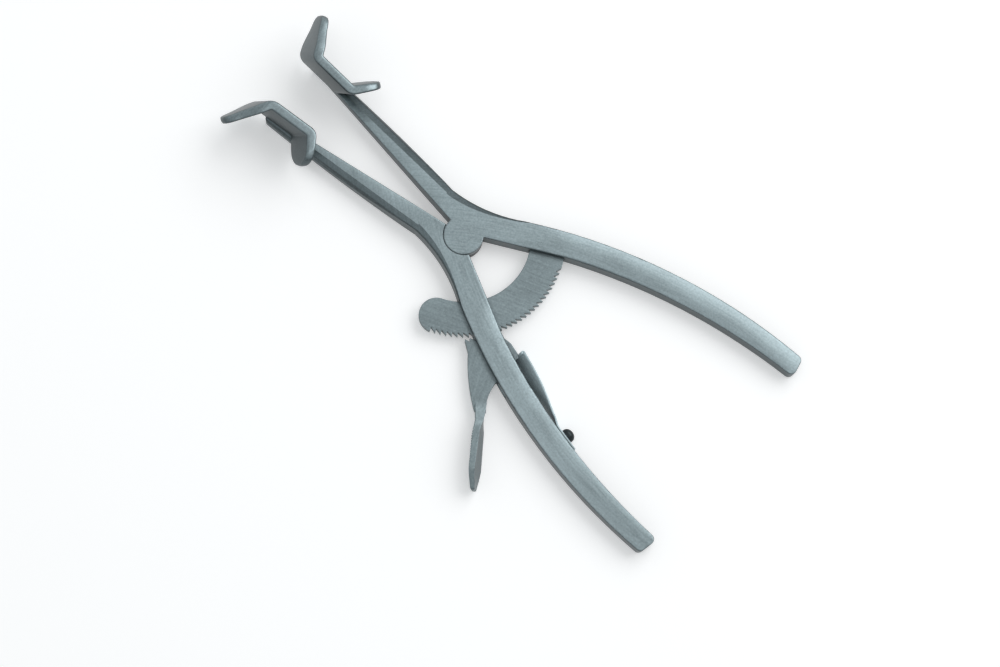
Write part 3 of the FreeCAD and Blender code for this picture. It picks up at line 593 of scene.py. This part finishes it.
# %% One steel for every piece
def satin_steel(name, grain, tone=1.0, side=0.5, edge_wear_and_glint=0.2, crown=None, soft=0.35, metal=1.0,
                crevice=0.55, recess_shade=None):
    """Ground and blasted steel; grain is a function that gives coordinates along the belt."""
    material, tree, shader = new_material(name)
    lines, speckle, cloud = steel_layers(tree, grain)
    normal = soft_edges(tree, soft)
    # Brighter edges: partly wear, partly a painted highlight along them.
    wear_and_glint = product(tree, edge_mask(tree, normal), edge_wear_and_glint)
    if crown:
        normal = raised(tree, crown(tree), normal, 1.0)
    # The shade includes painted shade: darker sides, darker crevices and a dark ring round the
    # recess.
    shade = product(tree, swing(tree, lines, LINE_SHADE), swing(tree, speckle, SPECKLE_SHADE),
                    swing(tree, cloud, CLOUD_SHADE), painted_side_shade(tree, normal, side),
                    painted_crevice_shade(tree, crevice))
    if recess_shade:
        shade = product(tree, shade, recess_shade(tree))
    rough = product(tree, swing(tree, cloud, CLOUD_ROUGH), swing(tree, lines, LINE_ROUGH),
                    STEEL_ROUGHNESS)
    grit = math_node(tree, "ADD", lines, speckle)
    bumps = raised(tree, grit, normal, BUMP_HEIGHT * MM, BUMP_STRENGTH)
    shader.inputs["Metallic"].default_value = metal
    plug(tree, steel_colour(tree, tone, shade, wear_and_glint, speckle), shader.inputs["Base Color"])
    plug(tree, rough, shader.inputs["Roughness"])
    plug(tree, bumps, shader.inputs["Normal"])
    return material


print("steel colour", STEEL, "roughness", STEEL_ROUGHNESS)

# %% [markdown]
# ## Which piece gets which finish
# The levers get belt lines that follow the curve of their own handle, and their edges are
# soft but no brighter. The pin of the joint, the pawl's pin and the rivets were ground down
# together with the levers, so they share the levers' grain and hardly show. The bar and the
# pawl were ground straight, and are darker, with edges a little brighter, partly from wear and
# partly as a painted highlight. One finish for all would be less work, but then the instrument
# would look cast in one piece. The plates, the leaf and the screw get theirs where they are made.

# %% Grain and crown for each piece
def lever_grain(side):
    return lambda tree: ring_grain(tree, handle_centre(side))


def grain_at(angle):
    return lambda tree: straight_grain(tree, angle)


def crown_of(side):
    return lambda tree: lever_crown(tree, side)


# The ring's darkness is painted shade of the joint's gap.
SEAM_INNER, SEAM_OUTER, RECESS_SHADE_TONE = 6.52, 6.85, 0.12


def painted_recess_shade(tree):
    """Painted shade: a dark line round the recess of the half-lap joint, where the gap between
    the levers lies.
    """
    x, y, z = split(tree, object_place(tree))
    return smooth_range(tree, length(tree, x, y), SEAM_INNER * MM, SEAM_OUTER * MM,
                        start=RECESS_SHADE_TONE)


def lever_steel(name, side, recess_shade=None):
    return satin_steel(name, lever_grain(side), side=0.3, edge_wear_and_glint=0.0, soft=0.7,
                       crown=crown_of(side), recess_shade=recess_shade)


def flush_steel(name, side, crown=None):
    return satin_steel(name, lever_grain(side), edge_wear_and_glint=0.0, soft=SHARP_EDGE, crown=crown)


# %% Finishes of the pieces
FINISHES = {
    "upper_lever": lever_steel("upper_lever_steel", -1),
    "lower_lever": lever_steel("lower_lever_steel", 1, recess_shade=painted_recess_shade),
    "ratchet_bar": satin_steel("ratchet_steel", grain_at(20), tone=0.8, edge_wear_and_glint=0.3),
    "release_pawl": satin_steel("pawl_steel", grain_at(112), tone=0.78, edge_wear_and_glint=0.4),
    "joint_pin": flush_steel("pin_steel", -1),
    "ratchet_rivets": flush_steel("rivet_steel", -1, crown_of(-1)),
    "pawl_pin": flush_steel("pawl_pin_steel", 1, crown_of(1)),
}
MADE_AGAIN = {"release_pawl"}
for name, material in FINISHES.items():
    if name not in MADE_AGAIN:
        slots = nodes[name].data.materials
        slots.clear()
        slots.append(material)
print("finished pieces", len(FINISHES))

# %% [markdown]
# ## Release pawl
# The pawl's thumb grip isn't quite upright: its upper edge leans away from the handle, so that
# the thumb meets it flat. The pawl could be modelled anew, but its teeth have to fit the bar
# exactly as the CAD cut them. So a copy of the CAD pawl's mesh is sheared at the grip alone,
# more and more along it, and less again at the tip.

# %% Copies of CAD shapes
DOUBLED = 0.002
SHARP_ANGLE = 14


def welded_copy(node):
    """The CAD node's shape in frame coordinates, with its doubled corners joined."""
    solid = bmesh.new()
    solid.from_mesh(nodes[node].data)
    bmesh.ops.transform(solid, matrix=nodes[node].matrix_world, verts=solid.verts)
    bmesh.ops.remove_doubles(solid, verts=solid.verts, dist=DOUBLED * MM)
    bmesh.ops.recalc_face_normals(solid, faces=solid.faces)
    return solid


def dressed_piece(name, solid, node, body, material):
    mesh = bpy.data.meshes.new(name)
    solid.to_mesh(mesh)
    solid.free()
    mesh.shade_smooth()
    mesh.set_sharp_from_angle(angle=math.radians(SHARP_ANGLE))
    piece = bpy.data.objects.new(name, mesh)
    scene.collection.objects.link(piece)
    mesh.materials.append(material)
    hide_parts(node)
    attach(piece, body)
    print(name, len(mesh.vertices), "vertices")
    return piece


def ease(share):
    """A smooth step from 0 to 1 for a plain number."""
    share = max(0.0, min(1.0, share))
    return share * share * (3 - 2 * share)


# %% The leaning grip
# In mm: where the grip starts, its middle height and how far it reaches aside, then the places
# along it where the lean begins, is full, begins to be lost at the tip, and ends.
GRIP_START = Vector((-40.8, 39.2))
GRIP_ANGLE = math.radians(125.5)
GRIP_LEAN = math.tan(math.radians(21))
GRIP_MIDDLE, GRIP_REACH = 3.3, 6.0
LEAN_START, LEAN_FULL, LEAN_TIP, GRIP_END = 1.0, 9.0, 20.0, 25.5
LEAN_LOST = 0.5


def lean_share(reach):
    """How much of the lean a place along the grip has."""
    share = ease((reach - LEAN_START) / (LEAN_FULL - LEAN_START))
    return share * (1 - LEAN_LOST * ease((reach - LEAN_TIP) / (GRIP_END - LEAN_TIP)))


def lean_grip(solid):
    run = Vector((math.cos(GRIP_ANGLE), math.sin(GRIP_ANGLE)))
    aside = Vector((run.y, -run.x))
    for vertex in solid.verts:
        place = vertex.co.xy / MM - GRIP_START
        reach = place.dot(run)
        if reach < LEAN_START or abs(place.dot(aside)) > GRIP_REACH:
            continue
        move = aside * GRIP_LEAN * lean_share(reach) * (vertex.co.z / MM - GRIP_MIDDLE) * MM
        vertex.co.x += move.x
        # The tip stays inside the CAD model's box.
        vertex.co.y = min(vertex.co.y + move.y, cad_box[1][1])


solid = welded_copy("release_pawl")
lean_grip(solid)
dressed_piece("pawl_dressed", solid, "release_pawl", "pawl_body", FINISHES["release_pawl"])

# %% [markdown]
# ## Jaw plates
# Each plate is a strip of steel bent twice, with every rim polished round. The CAD plate has
# the size and the bends but sharp rims. Its mesh could be given a bevel, but where the bends
# meet the rims at odd angles a bevel may fold over itself. Here the strip is swept again along
# the same path: at each step there is a rounded section, taller in the middle and lower towards
# the tips of the wings, and it leans back as the CAD plate does.

# %% Sizes of the plates
# In mm, with the angles in degrees turned to radians. The strip's own plane has its flat middle
# along the lever, and the wings stand out from both its ends.
PLATE_MIDDLE = Vector((70.2, 10.6))
PLATE_HALF_LENGTH = 7.8
PLATE_SLOPE = math.radians(4.0)
PLATE_LEAN = math.tan(math.radians(29.0))
PLATE_LOW, PLATE_HIGH = 4.5, 17.5
PLATE_THICK, TIP_THICK = 3.2, 2.4
# Each wing: where the flat middle ends, the wing's direction, and its length.
WINGS = [(PLATE_HALF_LENGTH, math.radians(60.0), 14.6),
         (-PLATE_HALF_LENGTH, math.radians(124.0), 11.0)]
WING_ROOT_Y = 13.2
WING_RUN = 8.5
WING_TIP_HALF = 3.9
TIP_ROUND = 3.6
THIN_RUN = 11.0
BEND_RADIUS = 2.4
RIM_RADIUS = 0.85
print("plates", PLATE_HIGH - PLATE_LOW, "mm high and", PLATE_THICK, "mm thick")

# %% The path along the strip
BEND_PARTS = 8
STRIP_STEP = 0.6
TIP_STEPS = (0.02, 0.08, 0.2, 0.4, 0.65)


def turned(arrow, angle):
    c, s = math.cos(angle), math.sin(angle)
    return Vector((arrow.x * c - arrow.y * s, arrow.x * s + arrow.y * c))


def rounded_corner(before, corner, after, radius):
    """Points round the inside of one bend."""
    back = (before - corner).normalized()
    on = (after - corner).normalized()
    half = math.acos(max(-1, min(1, back.dot(on)))) / 2
    reach = radius / math.tan(half)
    centre = corner + (back + on).normalized() * (radius / math.sin(half))
    first = corner + back * reach - centre
    sweep = math.pi - 2 * half
    if first.cross(corner + on * reach - centre) < 0:
        sweep = -sweep
    return [centre + turned(first, sweep * part / BEND_PARTS) for part in range(BEND_PARTS + 1)]


def fine_steps(points, step):
    """The same path with no run longer than a step, and closer steps by its two ends."""
    fine = [points[0]]
    for start, end in zip(points, points[1:]):
        count = max(1, math.ceil((end - start).length / step))
        fine += [start.lerp(end, part / count) for part in range(1, count + 1)]
    close = [step * share for share in TIP_STEPS]
    head = [fine[0] + (fine[1] - fine[0]).normalized() * run for run in close]
    tail = [fine[-1] + (fine[-2] - fine[-1]).normalized() * run for run in close]
    return [fine[0]] + head + fine[1:-1] + tail[::-1] + [fine[-1]]


def wing_corners(end, angle, reach):
    """The wing's tip, and the bend at its root."""
    tip = Vector((end + reach * math.cos(angle), reach * math.sin(angle)))
    return tip, Vector((end, 0.0))


def strip_path():
    """Tip, bend, bend, tip: the middle of the strip in its own plane."""
    front, rear = [wing_corners(*wing) for wing in WINGS]
    corners = [front[0], front[1], rear[1], rear[0]]
    points = [corners[0]]
    for trio in zip(corners, corners[1:], corners[2:]):
        points += rounded_corner(*trio, BEND_RADIUS)
    return fine_steps(points + [corners[-1]], STRIP_STEP)


path = strip_path()
print("points along the strip", len(path))


# %% Sections of the strip
LEAST_HALF = 0.05
FULLEST_ROUND = 0.95
QUARTERS = ((1, 1), (-1, 1), (-1, -1), (1, -1))


def half_height(nearness, y):
    """Half the strip's height: full in the middle, then a tongue with a round tip."""
    full = (PLATE_HIGH - PLATE_LOW) / 2
    height = full + (WING_TIP_HALF - full) * ease((y - WING_ROOT_Y) / WING_RUN)
    if nearness < TIP_ROUND:
        height *= math.sqrt(1 - (1 - nearness / TIP_ROUND) ** 2)
    return max(height, LEAST_HALF)


def half_thickness(nearness):
    """Half the strip's thickness, which thins towards each tip and rounds off there."""
    thick = (TIP_THICK + (PLATE_THICK - TIP_THICK) * min(1.0, nearness / THIN_RUN)) / 2
    if nearness < RIM_RADIUS:
        thick *= math.sqrt(1 - (1 - nearness / RIM_RADIUS) ** 2)
    return max(thick, LEAST_HALF)


def rounded_section(tall, thick, rim, parts=5):
    """Corners of a rounded rectangle, as pairs of height and thickness."""
    radius = min(rim, thick * FULLEST_ROUND, tall * FULLEST_ROUND)
    points = []
    for quarter, (up, out) in enumerate(QUARTERS):
        for part in range(parts + 1):
            angle = math.radians(90 - 90 * quarter - 90 * part / parts)
            points.append((up * (tall - radius) + radius * math.sin(angle),
                           out * (thick - radius) + radius * math.cos(angle)))
    return points


# %% Rings along the strip
def plan_point(side, point):
    """From the strip's own plane to the frame's plan, for one side."""
    c, s = math.cos(PLATE_SLOPE), math.sin(PLATE_SLOPE)
    return Vector((PLATE_MIDDLE.x + point.x * c - point.y * s,
                   side * (PLATE_MIDDLE.y + point.x * s + point.y * c)))


def outward(plan, place):
    """The direction square to a path at one of its points, in the plan."""
    run = plan[min(len(plan) - 1, place + 1)] - plan[max(0, place - 1)]
    return Vector((-run.y, run.x)).normalized()


def plate_rings(side):
    """Rounded sections along the strip, leaning back as they rise, in millimetres."""
    plan = [plan_point(side, point) for point in path]
    lean = -PLATE_LEAN * Vector((math.cos(PLATE_SLOPE), side * math.sin(PLATE_SLOPE)))
    middle = (PLATE_LOW + PLATE_HIGH) / 2
    rings = []
    for place, point in enumerate(plan):
        out = outward(plan, place)
        nearness = min((plan[0] - point).length, (plan[-1] - point).length)
        tall = half_height(nearness, abs(point.y))
        ring = []
        for height, thickness in rounded_section(tall, half_thickness(nearness), RIM_RADIUS):
            z = middle + height
            spot = point + lean * (z - PLATE_LOW) + out * thickness
            ring.append((spot.x, spot.y, z))
        rings.append(ring)
    return rings


# %% Skin over a row of rings
def ring_faces(rows, size):
    """Four-sided faces between neighbouring rings, and one face to close each end."""
    faces = []
    for row in range(rows - 1):
        for place in range(size):
            following = (place + 1) % size
            faces.append((row * size + place, row * size + following,
                          (row + 1) * size + following, (row + 1) * size + place))
    last = (rows - 1) * size
    return faces + [tuple(range(size))[::-1], tuple(range(last, last + size))]


def skin(name, rings):
    """One closed mesh over a row of rings that all have the same number of points."""
    vertices = [mm(*point) for ring in rings for point in ring]
    mesh = bpy.data.meshes.new(name)
    mesh.from_pydata(vertices, [], ring_faces(len(rings), len(rings[0])))
    outside = bmesh.new()
    outside.from_mesh(mesh)
    bmesh.ops.recalc_face_normals(outside, faces=outside.faces)
    outside.to_mesh(mesh)
    outside.free()
    mesh.shade_smooth()
    piece = bpy.data.objects.new(name, mesh)
    scene.collection.objects.link(piece)
    return piece


# %% The two plates
PLATES = [("upper_plate", -1, "upper_jaw_plate", "upper_lever_body"),
          ("lower_plate", 1, "lower_jaw_plate", "lower_lever_body")]
for name, side, node, body in PLATES:
    plate = skin(name, plate_rings(side))
    steel = satin_steel(name + "_steel", grain_at(90), tone=0.95, side=0.3, edge_wear_and_glint=0.0, soft=0.1)
    plate.data.materials.append(steel)
    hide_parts(node)
    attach(plate, body)
    print(name, len(plate.data.vertices), "vertices")

# %% [markdown]
# ## Leaf spring
# The leaf is a thin strip of steel, bowed away from the handle and curled over at its
# free end, where it presses on the pawl's tail. Its colour is painted lighter than the other
# steel, as painted light that lifts it out of the handle's shadow. It is rolled a little about
# its length, so that its lower edge lies near the handle. A flat mesh could be bent with a
# modifier, but then its seat under the screw would bend too. So it is skinned like the plates,
# over sections along its path, and each part of the path is written down by itself.

# %% The leaf's path
# SEAT is the middle of the screw's seat on the handle, AWAY points off the handle and ALONG
# towards the pawl. The rest is in mm from the seat, along the handle and away from it.
SEAT = Vector((-66.3, 28.664))
AWAY = Vector((-0.2317, -0.9728))
ALONG = Vector((0.9728, -0.2317))
LEVER_MIDDLE = 2.75
LEAF_HALF, LEAF_THICK, LEAF_RIM, RIM_PARTS = 2.5, 0.6, 0.22, 3
LEAF_BACK, LEAF_FLAT, LEAF_BEND = -4.9, 3.4, 8.0
LEAF_LOW, LEAF_RISE = 0.36, 1.55
LEAF_TIP = Vector((29.3, 5.1))
LEAF_BOW = 0.4
CURL_RADIUS, CURL_START, CURL_TURN = 0.38, 90, 210
RISE_PARTS, BOW_PARTS, CURL_PARTS = 8, 14, 12


def shares(parts):
    return [part / parts for part in range(1, parts + 1)]


def leaf_seat():
    """Flat under the screw, then rising away from the handle."""
    flat = [Vector((LEAF_BACK, LEAF_LOW)), Vector((LEAF_FLAT, LEAF_LOW))]
    return flat + [Vector((LEAF_FLAT + (LEAF_BEND - LEAF_FLAT) * share,
                           LEAF_LOW + (LEAF_RISE - LEAF_LOW) * ease(share)))
                   for share in shares(RISE_PARTS)]


def leaf_bow(start):
    """The long bowed run from the seat to the pawl's tail."""
    return [start.lerp(LEAF_TIP, share) + Vector((0, 4 * LEAF_BOW * share * (1 - share)))
            for share in shares(BOW_PARTS)]


def leaf_curl():
    """The free end, curled over."""
    centre = LEAF_TIP - Vector((0, CURL_RADIUS))
    angles = [math.radians(CURL_START - CURL_TURN * share) for share in shares(CURL_PARTS)]
    return [centre + CURL_RADIUS * Vector((math.cos(angle), math.sin(angle)))
            for angle in angles]


def leaf_path():
    """The middle of the strip: along the handle from the screw, and away from it."""
    seat = leaf_seat()
    return seat + leaf_bow(seat[-1]) + leaf_curl()


print("points along the leaf", len(leaf_path()))

# %% The leaf
LEAF_ROLL, ROLL_AXIS = 0.6, 1.2
ROLL_START, ROLL_FULL = 4.0, 21.0


def leaf_rings():
    points = leaf_path()
    section = rounded_section(LEAF_HALF, LEAF_THICK / 2, LEAF_RIM, RIM_PARTS)
    rings = []
    for place, point in enumerate(points):
        out = outward(points, place)
        roll = LEAF_ROLL * ease((point.x - ROLL_START) / (ROLL_FULL - ROLL_START))
        ring = []
        for height, thickness in section:
            spot = point + out * thickness
            rise = spot.y + roll * (height - ROLL_AXIS)
            plan = SEAT + ALONG * spot.x + AWAY * rise
            ring.append((plan.x, plan.y, LEVER_MIDDLE + height))
        rings.append(ring)
    return rings


leaf = skin("bowed_leaf", leaf_rings())
# The leaf's high tone is painted light that lifts it out of the handle's shadow.
leaf.data.materials.append(
    satin_steel("leaf_steel", grain_at(-13), tone=1.7, side=1.0, edge_wear_and_glint=0.0, soft=0.1, metal=0.2,
                crevice=0.1))
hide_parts("leaf_spring")
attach(leaf, "lower_lever_body")
print("leaf", len(leaf.data.vertices), "vertices")

# %% [markdown]
# ## Screw
# The screw's head is a high black dome with a slot cut across it. Half a ball with a dark line
# painted on it would look right from far off, but not where the slot meets the outline. So it
# is made as the real one is: a profile is turned on a lathe, and then the slot is cut out.

# %% The screw's profile
# In mm: heights along the screw's axis from the handle's face, and radii about it.
HEAD_SEAT, HEAD_RISE, HEAD_RADIUS, HEAD_RIM = 0.66, 2.8, 2.3, 0.9
HEAD_CHAMFER = 0.15
SHANK_RADIUS, SHANK_END = 1.2, -4.4
DOME_PARTS = 12
TURNS = 48
SEAM_WELD = 0.001


def screw_profile():
    """Radius and height from the shank's end to the top of the dome."""
    points = [(0.0, SHANK_END), (SHANK_RADIUS, SHANK_END), (SHANK_RADIUS, HEAD_SEAT),
              (HEAD_RADIUS - HEAD_CHAMFER, HEAD_SEAT), (HEAD_RADIUS, HEAD_SEAT + HEAD_CHAMFER)]
    for part in range(DOME_PARTS + 1):
        angle = math.radians(90 * part / DOME_PARTS)
        points.append((HEAD_RADIUS * math.cos(angle),
                       HEAD_SEAT + HEAD_RIM + (HEAD_RISE - HEAD_RIM) * math.sin(angle)))
    return points


def turned_screw():
    """The profile turned about the screw's axis."""
    solid = bmesh.new()
    profile = [solid.verts.new((radius, height, 0)) for radius, height in screw_profile()]
    edges = [solid.edges.new(pair) for pair in zip(profile, profile[1:])]
    bmesh.ops.spin(solid, geom=profile + edges, cent=(0, 0, 0), axis=(0, 1, 0),
                   angle=2 * math.pi, steps=TURNS, use_duplicate=False)
    bmesh.ops.remove_doubles(solid, verts=solid.verts, dist=SEAM_WELD)
    bmesh.ops.recalc_face_normals(solid, faces=solid.faces)
    return solid


print("screw head", 2 * HEAD_RADIUS, "mm across")

# %% The slot
SLOT_WIDE, SLOT_DEEP, SLOT_PAST = 0.75, 1.0, 0.5
SLOT_RUN = 3 * HEAD_RADIUS


def slot_block():
    """The bar of metal that the slot takes away."""
    block = bmesh.new()
    bmesh.ops.create_cube(block, size=1.0)
    middle = HEAD_SEAT + HEAD_RISE - SLOT_DEEP / 2 + SLOT_PAST
    for vertex in block.verts:
        vertex.co = Vector((vertex.co.x * SLOT_WIDE,
                            vertex.co.y * (SLOT_DEEP + 2 * SLOT_PAST) + middle,
                            vertex.co.z * SLOT_RUN))
    return block


def screw_place(point):
    """From the screw's own axes (across, along its axis, up) to the frame."""
    plan = SEAT + ALONG * point.x + AWAY * point.y
    return mm(plan.x, plan.y, LEVER_MIDDLE + point.z)


def mesh_piece(name, solid):
    for vertex in solid.verts:
        vertex.co = screw_place(vertex.co)
    mesh = bpy.data.meshes.new(name)
    solid.to_mesh(mesh)
    solid.free()
    piece = bpy.data.objects.new(name, mesh)
    scene.collection.objects.link(piece)
    return piece


# %% The screw
SCREW_SHARP = 40


def make_screw():
    screw = mesh_piece("domed_screw", turned_screw())
    cutter = mesh_piece("slot_cutter", slot_block())
    cut = screw.modifiers.new("slot", "BOOLEAN")
    cut.operation = "DIFFERENCE"
    cut.object = cutter
    bpy.context.view_layer.update()
    shape = screw.evaluated_get(bpy.context.evaluated_depsgraph_get())
    mesh = bpy.data.meshes.new_from_object(shape)
    screw.modifiers.clear()
    screw.data = mesh
    bpy.data.objects.remove(cutter)
    mesh.shade_smooth()
    mesh.set_sharp_from_angle(angle=math.radians(SCREW_SHARP))
    return screw


screw = make_screw()
screw.data.materials.clear()
screw.data.materials.append(
    satin_steel("black_screw_steel", grain_at(0), tone=0.14, side=0.7, edge_wear_and_glint=0.5, soft=0.15))
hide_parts("spring_screw")
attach(screw, "lower_lever_body")
print("screw", len(screw.data.vertices), "vertices")
